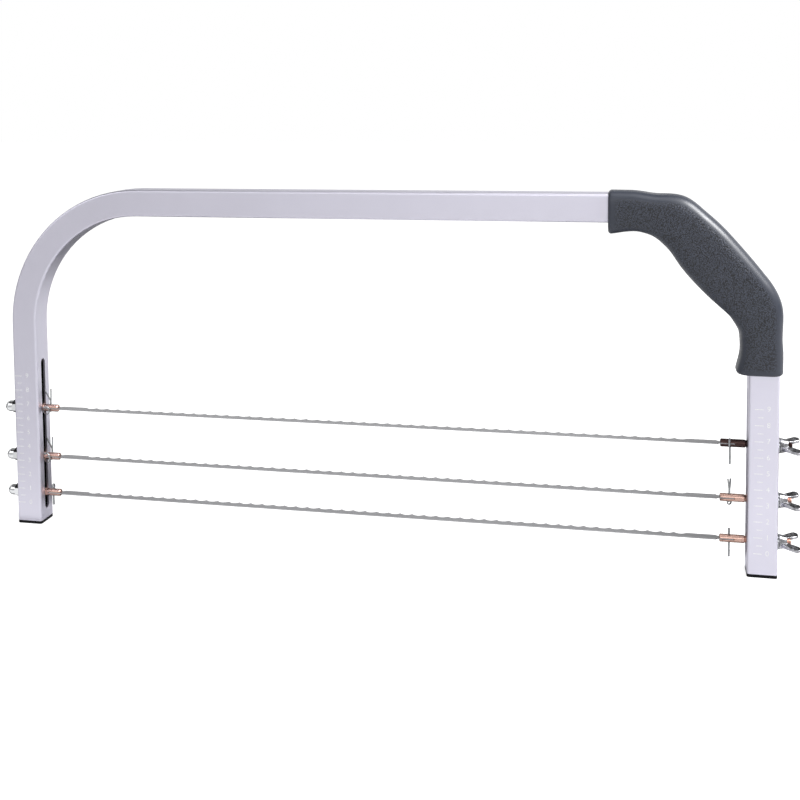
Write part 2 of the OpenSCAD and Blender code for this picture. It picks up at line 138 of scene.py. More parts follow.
# Each card that shows only in reflections: name, place, target, width, height and strength
CARDS = (
    ("white_card", (0.5, 1.6, 0.32), (0.5, 0, 0.3), 3.2, 0.64, 1.0),
    ("left_back_card", (-1.55, 1.5, 0.42), (-0.26, 0, 0.07), 0.8, 0.84, 0.04),
    ("overhead_card", (-0.75, 0.03, 1.0), (-0.26, 0, 0.07), 0.6, 0.6, 0.02),
    ("edge_card", (1.15, 0.2, 1.2), (0.2, 0, 0.2), 0.5, 0.6, 12),
    ("foot_card", (-0.3, -0.056, 0.003), (-0.3, -0.056, 1), 0.2, 0.088, 1.0),
    ("back_card", (0.1, 1.3, 1.3), MIDDLE, 3.4, 1.0, 0.12),
    ("front_card", (-1.35, -1.25, 0.5), (-0.2, 0, 0.2), 1.0, 1.0, 0.4),
    ("left_low_card", (-0.45, 0.3, 0.004), (-0.45, 0.3, 1), 0.6, 0.55, 0.08),
    ("right_low_card", (0.3, 0.15, 0.004), (0.3, 0.15, 1), 0.4, 0.26, 0.08),
    ("top_card", (0.35, -0.05, 1.7), MIDDLE, 1.2, 0.8, 2.0),
    ("right_card", (1.6, 0.3, 0.1), MIDDLE, 0.5, 1.2, 0.05),
    ("left_card", (-1.6, -0.2, 0.3), MIDDLE, 0.5, 1.2, 0.05),
)


def length(name, default, description):
    """A size in metres that a user can change."""
    return FloatProperty(name=name, description=description, default=default, min=0.0,
                         precision=5, unit="LENGTH")


def colour(name, default, description):
    """A colour that a user can change."""
    return FloatVectorProperty(name=name, description=description, default=default, size=3,
                               min=0.0, max=1.0, subtype="COLOR")


class LevelerSizes(bpy.types.PropertyGroup):
    """Sizes of the visible pieces that the frame doesn't give."""
    corner_cut: length("Corner cut", 63 * MM, "Corner cut of the tube inside the grip")
    corner_r: length("Corner radius", 36 * MM, "Centre line radius of the bends inside the grip")
    grip_side: length("Grip cover", 4.3 * MM, "Plastic over the tube's faces at the grip's ends")
    grip_belly: length("Grip belly", 1.4 * MM, "Extra plastic in the middle of the grip")
    grip_end_r: length("Grip end radius", 2 * MM, "Rounding of the grip's end faces")
    seam_w: length("Seam width", 0.1 * MM, "Gap between the two shells of the grip")
    seam_bevel: length("Seam edge", 0.25 * MM, "Rounding of the shells along their seam")
    grip_square: FloatProperty(name="Grip squareness", default=3.6, min=2.0, max=8.0,
                               description="Exponent of the grip's section: 2 is an ellipse")
    grip_rings: IntProperty(name="Grip rings", default=110, min=20, max=400,
                            description="Sections along the grip")
    grip_sides: IntProperty(name="Grip sides", default=96, min=24, max=256,
                            description="Points round each section of the grip")
    zero_z: length("Scale zero", 15 * MM, "Height of the scale's zero above the worktop")
    tick_w: length("Tick width", 0.44 * MM, "Width of the scale's ticks")
    long_tick: length("Long tick", 5.2 * MM, "Length of the ticks at whole centimetres")
    short_tick: length("Short tick", 3.4 * MM, "Length of the ticks at half centimetres")
    numeral_h: length("Numeral height", 4.6 * MM, "Size of the scale's numerals")
    mark_rise: length("Mark rise", 0.03 * MM, "How far the printed marks stand out of the metal")
    pitch: length("Thread pitch", 0.8 * MM, "Pitch of the rods' thread")
    thread_depth: length("Thread depth", 0.42 * MM, "Depth of the rods' thread")
    pin_shank: length("Pin shank", 1.26 * MM, "Diameter of the split pins")
    pin_together: length("Pin fork", 3 * MM, "Length beyond the rod where the legs stay together")
    wing_t: length("Wing thickness", 2.4 * MM, "Thickness of the wings at the nut's hub")
    wing_tip_t: length("Wing tip", 1.7 * MM, "Thickness of the wings at their tips")
    wing_turn: FloatProperty(name="Wing turn", default=math.radians(14), subtype="ANGLE",
                             description="Angle of the wings from the depth direction")


class LevelerColours(bpy.types.PropertyGroup):
    """Colours of the finishes."""
    aluminium: colour("Aluminium", (0.72, 0.705, 0.805), "Satin anodised tube")
    # The tube's inside colour is painted shade: near black where light doesn't reach into the tube
    inside: colour("Tube inside", (0.02, 0.02, 0.022), "Dull inside walls of the tube")
    grip: colour("Grip", (0.029, 0.034, 0.050), "Moulded slate grey plastic")
    cap: colour("Foot caps", (0.004, 0.004, 0.005), "Black moulded plastic")
    steel: colour("Blade steel", (0.46, 0.46, 0.48), "Ground stainless steel")
    copper: colour("Copper", (0.58, 0.38, 0.32), "Copper plate on the rods")
    # This dark copper colour serves for aged patches, and as a painted dark reflection all over the
    # upper right rod
    tarnish: colour("Tarnish", (0.05, 0.03, 0.028), "Darkened copper plate")
    wire: colour("Pin wire", (0.32, 0.33, 0.34), "Drawn steel wire")
    chrome: colour("Bright plate", (0.38, 0.39, 0.41), "Bright plated nuts and washers")
    cast: colour("Cast nuts", (0.36, 0.36, 0.38), "Plated castings of the wing nuts")
    screw: colour("Screw steel", (0.42, 0.42, 0.43), "Zinc-plated screws")
    mark: colour("Scale marks", (0.88, 0.88, 0.91), "Printed marks on the legs")


def sizes():
    """The scene's sizes."""
    return bpy.context.scene.leveler_sizes


def colours():
    """The scene's colours."""
    return bpy.context.scene.leveler_colours


def new_material(name, base, metallic, roughness, **sockets):
    """A material with one Principled shader, whose constant values sit on its own sockets."""
    mat = bpy.data.materials.new(name)
    mat.use_nodes = True
    shader = mat.node_tree.nodes["Principled BSDF"]
    shader.inputs["Base Color"].default_value = (*base, 1.0)
    shader.inputs["Metallic"].default_value = metallic
    shader.inputs["Roughness"].default_value = roughness
    for socket, value in sockets.items():
        shader.inputs[socket.replace("_", " ")].default_value = value
    return mat, shader


def add_node(mat, kind, **values):
    """A node of that kind, with its properties and input sockets set."""
    node = mat.node_tree.nodes.new("ShaderNode" + kind)
    for key, value in values.items():
        if hasattr(node, key):
            setattr(node, key, value)
        else:
            node.inputs[key.replace("_", " ")].default_value = value
    return node


def link(mat, source, target):
    """Links two sockets."""
    mat.node_tree.links.new(source, target)


def object_space(mat, scale=(1, 1, 1)):
    """Object coordinates, scaled along each axis."""
    where = add_node(mat, "TexCoord")
    mapping = add_node(mat, "Mapping")
    mapping.inputs["Scale"].default_value = scale
    link(mat, where.outputs["Object"], mapping.inputs["Vector"])
    return mapping.outputs["Vector"]


def noise(mat, vector, scale, detail=2.0):
    """The value of a noise texture."""
    node = add_node(mat, "TexNoise", Scale=scale, Detail=detail)
    link(mat, vector, node.inputs["Vector"])
    return node.outputs["Fac"]


def spread(mat, value, low, high, start=0.3, end=0.7):
    """Maps a value from start..end to low..high."""
    node = add_node(mat, "MapRange")
    for socket, number in zip(("From Min", "From Max", "To Min", "To Max"),
                              (start, end, low, high)):
        node.inputs[socket].default_value = number
    link(mat, value, node.inputs["Value"])
    return node.outputs["Result"]


def calc(mat, operation, first, second=0.0):
    """The result of a Math node on two sockets or numbers."""
    node = add_node(mat, "Math", operation=operation)
    for socket, value in zip(node.inputs, (first, second)):
        if isinstance(value, bpy.types.NodeSocket):
            link(mat, value, socket)
        else:
            socket.default_value = value
    return node.outputs["Value"]


def two_tone(mat, factor, first, second, target=None):
    """Mixes two colours, or colour sockets, by factor, and into a socket if there is one."""
    node = add_node(mat, "Mix", data_type="RGBA")
    for socket, tone in zip([s for s in node.inputs if s.type == "RGBA"], (first, second)):
        if isinstance(tone, bpy.types.NodeSocket):
            link(mat, tone, socket)
        else:
            socket.default_value = (*tone, 1.0)
    link(mat, factor, node.inputs["Factor"])
    mixed = [s for s in node.outputs if s.type == "RGBA"][0]
    if target is not None:
        link(mat, mixed, target)
    return mixed


def bump(mat, shader, height, distance, strength=1.0):
    """Turns a height value into a bump on the shader."""
    node = add_node(mat, "Bump", Distance=distance, Strength=strength)
    link(mat, height, node.inputs["Height"])
    link(mat, node.outputs["Normal"], shader.inputs["Normal"])


def shade(base, factor):
    """A colour made lighter or darker."""
    return tuple(min(1.0, channel * factor) for channel in base)


def axes(mat, vector):
    """The X, Y and Z of a vector."""
    node = add_node(mat, "SeparateXYZ")
    link(mat, vector, node.inputs["Vector"])
    return (node.outputs[axis] for axis in "XYZ")


def tint(mat, shader, factor, base, low, high):
    """Colours the shader between two shades of a colour."""
    two_tone(mat, factor, shade(base, low), shade(base, high), shader.inputs["Base Color"])


def vary_gloss(mat, shader, value, low, high):
    """Spreads the shader's roughness between low and high."""
    link(mat, spread(mat, value, low, high), shader.inputs["Roughness"])


def leg_inside(mat, space):
    """Mask of the painted shade inside the tube: 1 on the inside walls of the legs, as high as the
    slots go, and 0 on the outside.
    """
    x, y, z = axes(mat, space)
    left = calc(mat, "ABSOLUTE", calc(mat, "SUBTRACT", x, LEFT_LEG_X))
    right = calc(mat, "ABSOLUTE", calc(mat, "SUBTRACT", x, LEG_X))
    off_axis = calc(mat, "MAXIMUM", calc(mat, "MINIMUM", left, right), calc(mat, "ABSOLUTE", y))
    within = calc(mat, "LESS_THAN", off_axis, TUBE_W / 2 - INSIDE_SHADE_DEPTH)
    return calc(mat, "MULTIPLY", within, calc(mat, "LESS_THAN", z, INSIDE_SHADE_H))


def grained(name, base, metallic, roughness, scale, detail, shades, gloss=None, stretch=(1, 1, 1),
            **sockets):
    """A material whose tone, and gloss if it is given, follow one fine noise, and that noise."""
    mat, shader = new_material(name, base, metallic, roughness, **sockets)
    grain = noise(mat, object_space(mat, stretch), scale, detail)
    tint(mat, shader, grain, base, *shades)
    if gloss:
        vary_gloss(mat, shader, grain, *gloss)
    return mat, shader, grain


def satin_aluminium():
    """Anodised tube: a soft sheen with faint clouds and a very fine grain, and near-black painted
    shade on its inside walls.
    """
    base = colours().aluminium
    mat, shader = new_material("satin_aluminium", base, 1.0, 0.42)
    space = object_space(mat)
    clouds = noise(mat, space, 26, 3)
    skin = two_tone(mat, clouds, shade(base, 0.965), shade(base, 1.035))
    # Paints the inside walls of the legs near black as shade
    two_tone(mat, leg_inside(mat, space), skin, colours().inside, shader.inputs["Base Color"])
    grain = noise(mat, space, 2600, 2)
    vary_gloss(mat, shader, grain, 0.36, 0.47)
    bump(mat, shader, grain, 0.004 * MM, 0.5)
    return mat


def pebbled_plastic():
    """Moulded plastic with a pebble grain that fades towards the smooth rims, with painted
    highlight on the pebble tops and painted shade between them.
    """
    base = colours().grip
    mat, shader = new_material("pebbled_plastic", base, 0.0, 0.40, Specular_IOR_Level=0.5)
    space = object_space(mat)
    stir = add_node(mat, "TexNoise", Scale=420.0, Detail=1.0)
    link(mat, space, stir.inputs["Vector"])
    shrink = add_node(mat, "VectorMath", operation="SCALE")
    shrink.inputs["Scale"].default_value = 0.8 * MM
    link(mat, stir.outputs["Color"], shrink.inputs["Vector"])
    warp = add_node(mat, "VectorMath", operation="ADD")
    link(mat, space, warp.inputs[0])
    link(mat, shrink.outputs["Vector"], warp.inputs[1])
    pebbles = add_node(mat, "TexVoronoi", Scale=1450.0, feature="F1")
    link(mat, warp.outputs["Vector"], pebbles.inputs["Vector"])
    grain = add_node(mat, "Attribute", attribute_name="grain")
    domes = spread(mat, pebbles.outputs["Distance"], 1.0, 0.0, 0.1, 0.7)
    height = calc(mat, "MULTIPLY", domes, grain.outputs["Fac"])
    bump(mat, shader, height, 0.15 * MM, 1.0)
    vary_gloss(mat, shader, noise(mat, space, 60, 2), 0.36, 0.46)
    # Painted highlight on the pebble tops and painted shade in the gaps between them
    pebble_highlight_and_shade = two_tone(mat, domes, shade(base, 0.2), shade(base, 2.1))
    two_tone(mat, grain.outputs["Fac"], base, pebble_highlight_and_shade, shader.inputs["Base Color"])
    return mat


def black_plastic():
    """Moulded caps with a fine spark-eroded grain."""
    mat, shader, grain = grained("black_plastic", colours().cap, 0.0, 0.55, 1800, 2, (0.8, 1.5),
                                 Specular_IOR_Level=0.15)
    bump(mat, shader, grain, 0.03 * MM, 0.5)
    return mat


def ground_steel():
    """Blade steel with fine lines ground along its length, darker towards the wing nuts as a
    painted dark reflection.
    """
    base = colours().steel
    mat, shader = new_material("ground_steel", base, 1.0, 0.34)
    lines = noise(mat, object_space(mat, (12, 1600, 1600)), 1.0, 3)
    vary_gloss(mat, shader, lines, 0.26, 0.42)
    ground = two_tone(mat, lines, shade(base, 0.88), shade(base, 1.12))
    # Painted dark reflection: the steel darkens towards its right end
    x, _, _ = axes(mat, object_space(mat))
    blade_dark_reflection = spread(mat, x, 0.0, 1.0, *BLADE_DARK_REFLECTION_X)
    two_tone(mat, blade_dark_reflection, ground, shade(base, 0.62), shader.inputs["Base Color"])
    bump(mat, shader, lines, 0.004 * MM, 0.6)
    return mat


def copper_plate(name, tarnish):
    """Copper plate, darkened in patches where it has aged. The darkening runs from 0, bright, to 1,
    dark all over, where it is a painted dark reflection.
    """
    base = colours().copper
    mat, shader = new_material(name, base, 1.0, 0.30)
    space = object_space(mat)
    patches = noise(mat, space, 190, 4)
    factor = spread(mat, patches, 0.0, 1.0, 0.72 - 0.6 * tarnish, 0.95 - 0.6 * tarnish)
    two_tone(mat, factor, base, colours().tarnish, shader.inputs["Base Color"])
    vary_gloss(mat, shader, noise(mat, space, 900, 2), 0.24 - 0.08 * tarnish,
               0.40 - 0.10 * tarnish)
    return mat


def drawn_wire():
    """Steel wire of the split pins, with draw marks along it."""
    return grained("drawn_wire", colours().wire, 1.0, 0.30, 1500, 2, (0.85, 1.15), (0.22, 0.40),
                   (1, 1, 0.2))[0]


def bright_plate():
    """Bright plating on nuts and washers, with a faint orange peel."""
    base = colours().chrome
    mat, shader = new_material("bright_plate", base, 1.0, 0.12)
    space = object_space(mat)
    peel = noise(mat, space, 700, 2)
    vary_gloss(mat, shader, peel, 0.08, 0.16)
    tint(mat, shader, noise(mat, space, 120, 2), base, 0.95, 1.04)
    bump(mat, shader, peel, 0.006 * MM, 0.4)
    return mat


def cast_plate():
    """Plating on a rough casting: uneven gloss, and darker patches at random."""
    base = colours().cast
    mat, shader = new_material("cast_plate", base, 1.0, 0.26)
    space = object_space(mat)
    skin = noise(mat, space, 480, 3)
    vary_gloss(mat, shader, skin, 0.18, 0.34)
    # The darker patches follow a noise, not the hollows of the casting
    dark_patches = spread(mat, noise(mat, space, 260, 3), 0.0, 1.0, 0.38, 0.6)
    tint(mat, shader, dark_patches, base, 0.45, 1.35)
    bump(mat, shader, skin, 0.12 * MM, 0.6)
    return mat


def zinc_plate():
    """Zinc-plated screws."""
    return grained("zinc_plate", colours().screw, 1.0, 0.32, 420, 3, (0.85, 1.15), (0.25, 0.42))[0]


def mark_paint():
    """Pale print of the scale, a little worn."""
    base = colours().mark
    mat, shader = new_material("mark_paint", base, 0.0, 0.55)
    wear = spread(mat, noise(mat, object_space(mat), 900, 3), 0.0, 1.0, 0.42, 0.62)
    tint(mat, shader, wear, base, 0.88, 1.0)
    return mat


def finish_node(name, mat):
    """Gives a CAD node its material."""
    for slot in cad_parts[name].material_slots:
        slot.material = mat


def finish_mesh(bm, merge=0.005 * MM):
    """Merges doubles and turns every face outwards."""
    bmesh.ops.remove_doubles(bm, verts=bm.verts, dist=merge)
    bmesh.ops.recalc_face_normals(bm, faces=bm.faces)


def shade_smooth(mesh, sharp):
    """Shades a mesh smooth up to an angle in degrees."""
    mesh.shade_smooth()
    mesh.set_sharp_from_angle(angle=math.radians(sharp))


def make_object(name, bm, sharp=35):
    """An object at the origin from a bmesh."""
    mesh = bpy.data.meshes.new(name)
    bm.to_mesh(mesh)
    bm.free()
    shade_smooth(mesh, sharp)
    obj = bpy.data.objects.new(name, mesh)
    bpy.context.scene.collection.objects.link(obj)
    return obj


def add_piece(obj, body, mat, replaced=()):
    """Lets an object ride on its body with its finish, in place of the CAD nodes replaced."""
    obj.data.materials.clear()
    obj.data.materials.append(mat)
    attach(obj, body)
    if replaced:
        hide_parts(*replaced)


def combine(obj, tools, operation="DIFFERENCE", sharp=35):
    """Cuts tools out of an object, or joins them to it, and removes them."""
    for tool in tools:
        modifier = obj.modifiers.new("combine", "BOOLEAN")
        modifier.operation = operation
        modifier.solver = "EXACT"
        modifier.object = tool
    apply_modifiers(obj, sharp)
    for tool in tools:
        bpy.data.objects.remove(tool)


def apply_modifiers(obj, sharp=35):
    """Makes the modified mesh the object's own."""
    graph = bpy.context.evaluated_depsgraph_get()
    mesh = bpy.data.meshes.new_from_object(obj.evaluated_get(graph))
    obj.modifiers.clear()
    obj.data = mesh
    mesh.name = obj.name
    shade_smooth(mesh, sharp)


def chain(bm, outline):
    """A row of edges through points given as (radius, height)."""
    verts = [bm.verts.new((r, 0, h)) for r, h in outline]
    return verts + [bm.edges.new(pair) for pair in zip(verts, verts[1:])]


def extrude_ring(bm, ring, edges, points):
    """Extrudes a ring and moves the new one to the points."""
    made = bmesh.ops.extrude_edge_only(bm, edges=edges)["geom"]
    new = {g for g in made if isinstance(g, bmesh.types.BMVert)}
    step = [next(e.other_vert(v) for e in v.link_edges if e.other_vert(v) in new) for v in ring]
    for vert, point in zip(step, points):
        vert.co = point
    step_edges = [g for g in made if isinstance(g, bmesh.types.BMEdge) and set(g.verts) <= new]
    return step, step_edges


def loft(bm, rings, join_ends=False):
    """Skins a row of rings that have as many points each. Returns the first and last edges."""
    ring = [bm.verts.new(point) for point in rings[0]]
    first = edges = [bm.edges.new((ring[i - 1], ring[i])) for i in range(len(ring))]
    for points in rings[1:]:
        ring, edges = extrude_ring(bm, ring, edges, points)
    if join_ends:
        bmesh.ops.bridge_loops(bm, edges=list(first) + list(edges))
    return first, edges


def lathe(bm, outline, steps=48):
    """Turns an outline of (radius, height) points once round the Z axis."""
    bmesh.ops.spin(bm, geom=chain(bm, outline), cent=(0, 0, 0), axis=(0, 0, 1), angle=math.tau,
                   steps=steps, use_merge=True)
    finish_mesh(bm)


def cylinder(name, radius, low, high, matrix=Matrix(), steps=32):
    """A plain cylinder along Z from low to high, moved by matrix. Used as a cutter."""
    bm = bmesh.new()
    bmesh.ops.create_cone(bm, cap_ends=True, segments=steps, radius1=radius, radius2=radius,
                          depth=high - low)
    bm.transform(matrix @ Matrix.Translation((0, 0, (low + high) / 2)))
    return make_object(name, bm)


def block(name, low, high, matrix=Matrix()):
    """A box between two corners, moved by matrix. Used as a cutter."""
    bm = bmesh.new()
    bmesh.ops.create_cube(bm, size=1.0)
    low, high = Vector(low), Vector(high)
    bmesh.ops.scale(bm, vec=high - low, verts=bm.verts)
    bm.transform(matrix @ Matrix.Translation((low + high) / 2))
    return make_object(name, bm)


def along_x(x, z, way=1):
    """Matrix that lays the Z axis along +X, or along -X, from the point (x, 0, z)."""
    turn = Matrix.Rotation(math.radians(90 * way), 4, "Y")
    return Matrix.Translation((x, 0, z)) @ turn


def smooth_station(values, share):
    """Value of a smooth curve through evenly spaced values, at a share of its length."""
    last = len(values) - 1
    i = min(int(share * last), last - 1)
    u = share * last - i
    a, b, c, d = (values[max(i - 1, 0)], values[i], values[i + 1], values[min(i + 2, last)])
    return 0.5 * (2 * b + (c - a) * u + (2 * a - 5 * b + 4 * c - d) * u ** 2
                  + (3 * b - a - 3 * c + d) * u ** 3)


def smooth_step(value, low, high):
    """0 below low, 1 above high, and a smooth rise between."""
    t = min(max((value - low) / (high - low), 0.0), 1.0)
    return t * t * (3 - 2 * t)


def squarish(value, exponent):
    """A sine or cosine pushed out towards a square, as in a superellipse."""
    return math.copysign(abs(value) ** (2 / exponent), value) if abs(value) > 1e-9 else 0.0


class GripPath:
    """The tube's centre line inside the grip, by length from the bar end."""

    def __init__(self):
        s = sizes()
        self.radius = s.corner_r
        self.tangent = s.corner_r * math.tan(GRIP_BEND / 2)
        self.arc = s.corner_r * GRIP_BEND
        self.cut = s.corner_cut
        self.bend_x = LEG_X - s.corner_cut - self.tangent
        self.bend_z = BAR_Z - s.corner_cut - self.tangent
        self.start_x = GRIP_LOW.x
        self.s1 = self.bend_x - self.start_x
        self.s2 = self.s1 + self.arc
        self.s3 = self.s2 + s.corner_cut * math.sqrt(2) - 2 * self.tangent
        self.s4 = self.s3 + self.arc
        self.total = self.s4 + self.bend_z - GRIP_LOW.z

    def point(self, s):
        """(x, z, heading below +X in radians) at length s."""
        r = self.radius
        if s < self.s1:
            return self.start_x + s, BAR_Z, 0.0
        if s < self.s2:
            h = (s - self.s1) / r
            return self.bend_x + r * math.sin(h), BAR_Z - r * (1 - math.cos(h)), h
        if s < self.s3:
            t = (self.tangent + s - self.s2) * math.sqrt(0.5)
            return LEG_X - self.cut + t, BAR_Z - t, GRIP_BEND
        if s < self.s4:
            h = GRIP_BEND + (s - self.s3) / r
            return LEG_X - r * (1 - math.sin(h)), self.bend_z + r * math.cos(h), h
        return LEG_X, self.bend_z - (s - self.s4), math.pi / 2

    def half_depth(self, s):
        """Half the grip's depth at length s."""
        size = sizes()
        return TUBE_W / 2 + size.grip_side + size.grip_belly * math.sin(math.pi * s / self.total)

    def ring(self, s, outer, finger, depth, exponent):
        """Closed section at length s, reaching outer and finger from the centre line."""
        x, z, heading = self.point(s)
        count = sizes().grip_sides
        points = []
        for j in range(count):
            angle = math.tau * j / count
            reach = squarish(math.cos(angle), exponent)
            out = reach * (outer if reach > 0 else finger)
            points.append(Vector((x + out * math.sin(heading),
                                  depth * squarish(math.sin(angle), exponent),
                                  z + out * math.cos(heading))))
        return points

    def skin_ring(self, s, inset):
        """Section of the grip's outer skin at length s, drawn in by inset."""
        share = s / self.total
        outer, finger = (TUBE_W / 2 + smooth_station(stations, share) * MM - inset
                         for stations in (GRIP_OUTER, GRIP_FINGER))
        return self.ring(s, outer, finger, self.half_depth(s) - inset, sizes().grip_square)

    def channel_ring(self, s):
        """Section of the channel that holds the tube."""
        half = TUBE_W / 2 + CHANNEL_GAP
        return self.ring(s, half, half, half, CHANNEL_SQUARE)


def grip_solid(path):
    """The whole grip with the tube's channel through it, as one closed bmesh."""
    size = sizes()
    end_r, rounds = size.grip_end_r, 6
    ends = [(end_r * (1 - math.cos(a)), end_r * (1 - math.sin(a)))
            for a in (math.pi / 2 * k / rounds for k in range(rounds + 1))]
    run = path.total - 2 * end_r
    steps = [end_r + run * i / size.grip_rings for i in range(1, size.grip_rings)]
    rings = [path.skin_ring(s, inset) for s, inset in ends]
    rings += [path.skin_ring(s, 0) for s in steps]
    rings += [path.skin_ring(path.total - s, inset) for s, inset in reversed(ends)]
    rings += [path.channel_ring(path.total * (1 - i / CHANNEL_RINGS))
              for i in range(CHANNEL_RINGS + 1)]
    bm = bmesh.new()
    loft(bm, rings, join_ends=True)
    finish_mesh(bm, 0.002 * MM)
    return bm


def grain_strength(path, obj):
    """Writes how strong the pebble grain is at each point: none near the edges and the rims."""
    count = 200
    samples = [path.point(path.total * i / count) for i in range(count + 1)]
    values = []
    for vert in obj.data.vertices:
        co = vert.co
        nearest = min(range(count + 1), key=lambda i: (samples[i][0] - co.x) ** 2
                      + (samples[i][1] - co.z) ** 2)
        x, z, heading = samples[nearest]
        out = (co.x - x) * math.sin(heading) + (co.z - z) * math.cos(heading)
        share = nearest / count
        s = path.total * share
        distances = (s, path.total - s,
                     TUBE_W / 2 + smooth_station(GRIP_OUTER, share) * MM - out,
                     TUBE_W / 2 + smooth_station(GRIP_FINGER, share) * MM + out)
        steps = (smooth_step(distance, start * MM, full * MM)
                 for distance, (start, full) in zip(distances, GRAIN_MARGINS))
        values.append(math.prod(steps))
    grain = obj.data.attributes.new("grain", "FLOAT", "POINT")
    grain.data.foreach_set("value", values)


def grip_shell(path, name, side):
    """One shell of the grip: side is -1 in front and 1 behind."""
    size = sizes()
    bm = grip_solid(path)
    bmesh.ops.bisect_plane(bm, geom=bm.verts[:] + bm.edges[:] + bm.faces[:], dist=0.001 * MM,
                           plane_co=(0, 0, 0), plane_no=(0, side, 0), clear_inner=True)
    for vert in bm.verts:
        if abs(vert.co.y) < 0.01 * MM:
            vert.co.y = side * size.seam_w / 2
    rim = [e for e in bm.edges if e.is_boundary]
    bmesh.ops.holes_fill(bm, edges=rim, sides=0)
    seam = [e for e in rim if e.is_valid and any(
        abs(f.normal.y) < 0.9 for f in e.link_faces)]
    bmesh.ops.recalc_face_normals(bm, faces=bm.faces)
    bmesh.ops.bevel(bm, geom=seam, offset=size.seam_bevel, offset_type="OFFSET", segments=2,
                    profile=0.5, affect="EDGES", material=-1, clamp_overlap=True)
    return make_object(name, bm, 40)


def at_screw(path, share):
    """Matrix that puts the Z axis along +Y at a grip screw, with the rear skin at z = depth."""
    x, z, _ = path.point(share * path.total)
    return Matrix.Translation((x, 0, z)) @ Matrix.Rotation(math.radians(-90), 4, "X")


class LEVELER_OT_tube(bpy.types.Operator):
    """Finish the bent tube and its foot caps"""
    bl_idname = "leveler.tube"
    bl_label = "Tube and Foot Caps"

    def execute(self, context):
        finish_node("frame_tube", satin_aluminium())
        plastic = black_plastic()
        for side in SIDES:
            finish_node(f"{side}_foot_cap", plastic)
        return {"FINISHED"}


class LEVELER_OT_scale(bpy.types.Operator):
    """Print the centimetre scale on the front of both legs"""
    bl_idname = "leveler.scale"
    bl_label = "Scale Marks"

    def numeral(self, digit, x, z, size):
        """Mesh of one numeral, standing on the front face with its middle at (x, z)."""
        text = bpy.data.curves.new("numeral", "FONT")
        text.body = str(digit)
        text.size = size
        text.align_x = "CENTER"
        text.align_y = "CENTER"
        text.extrude = sizes().mark_rise
        holder = bpy.data.objects.new("numeral", text)
        mesh = bpy.data.meshes.new_from_object(holder)
        bpy.data.objects.remove(holder)
        mesh.transform(Matrix.Translation((x, -TUBE_W / 2, z))
                       @ Matrix.Rotation(math.pi / 2, 4, "X"))
        return mesh

    def execute(self, context):
        size = sizes()
        mat = mark_paint()
        for side, edge in (("left", TUBE_LOW.x), ("right", CAP_LOW.x)):
            tick_x, numeral_x = (edge + inset for inset in MARKS_AT[side])
            bm = bmesh.new()
            for half in range(TICKS):
                z = size.zero_z + half * HALF_CM
                long = half % 2 == 0
                right = tick_x + size.long_tick
                left = right - (size.long_tick if long else size.short_tick)
                tick = bmesh.ops.create_cube(bm, size=1.0)["verts"]
                bmesh.ops.scale(bm, verts=tick, vec=(right - left, 2 * size.mark_rise, size.tick_w))
                bmesh.ops.translate(bm, verts=tick, vec=((left + right) / 2, -TUBE_W / 2, z))
                if long:
                    mesh = self.numeral(half // 2, numeral_x, z + 0.3 * MM, size.numeral_h)
                    bm.from_mesh(mesh)
                    bpy.data.meshes.remove(mesh)
            bmesh.ops.remove_doubles(bm, verts=bm.verts, dist=0.001 * MM)
            add_piece(make_object(f"{side}_scale", bm, 20), BOW, mat)
        return {"FINISHED"}


class LEVELER_OT_grip(bpy.types.Operator):
    """Mould the two shells of the grip round the corner of the tube"""
    bl_idname = "leveler.grip"
    bl_label = "Grip"

    def execute(self, context):
        mat = pebbled_plastic()
        path = GripPath()
        front = grip_shell(path, "grip_front", -1)
        rear = grip_shell(path, "grip_rear", 1)
        cutters = []
        for share in SCREW_SHARES:
            face = path.half_depth(share * path.total)
            cutters.append(cylinder("recess", RECESS_R, face - RECESS_DEPTH, face + 2 * MM,
                                    at_screw(path, share), 48))
        combine(rear, cutters, sharp=40)
        for obj, node in ((front, "handle_front_shell"), (rear, "handle_rear_shell")):
            grain_strength(path, obj)
            add_piece(obj, BOW, mat, (node,))
        return {"FINISHED"}


class LEVELER_OT_screws(bpy.types.Operator):
    """Make the grip's screws, each with a cross recess"""
    bl_idname = "leveler.screws"
    bl_label = "Grip Screws"

    def execute(self, context):
        mat = zinc_plate()
        path = GripPath()
        for i, share in enumerate(SCREW_SHARES):
            face = path.half_depth(share * path.total)
            seat, tip = face - RECESS_DEPTH, TIP_WALL - face
            bm = bmesh.new()
            dome = [(HEAD_R * math.cos(a), seat + 0.9 * MM + 1.1 * MM * math.sin(a))
                    for a in (math.pi / 2 * k / 8 for k in range(9))]
            lathe(bm, [(0, tip), (SHANK_R / 2, tip), (SHANK_R, tip + 2 * SHANK_R), (SHANK_R, seat),
                       (HEAD_R - 0.2 * MM, seat), (HEAD_R, seat + 0.2 * MM)] + dome, 40)
            bm.transform(at_screw(path, share))
            screw = make_object(f"grip_screw_{i + 1}", bm, 30)
            blades = []
            for turn in (25, 115):
                spin = at_screw(path, share) @ Matrix.Rotation(math.radians(turn + 20 * i), 4, "Z")
                blades.append(block("cross", (-CROSS_R, -CROSS_W / 2, seat + 0.7 * MM),
                                    (CROSS_R, CROSS_W / 2, face), spin))
            combine(screw, blades, sharp=30)
            add_piece(screw, BOW, mat, ("handle_screws",) if i == 0 else ())
        return {"FINISHED"}


class LEVELER_OT_blades(bpy.types.Operator):
    """Finish the three scalloped blades"""
    bl_idname = "leveler.blades"
    bl_label = "Blades"

    def execute(self, context):
        mat = ground_steel()
        for level in LEVELS:
            finish_node(f"{level}_blade", mat)
        return {"FINISHED"}


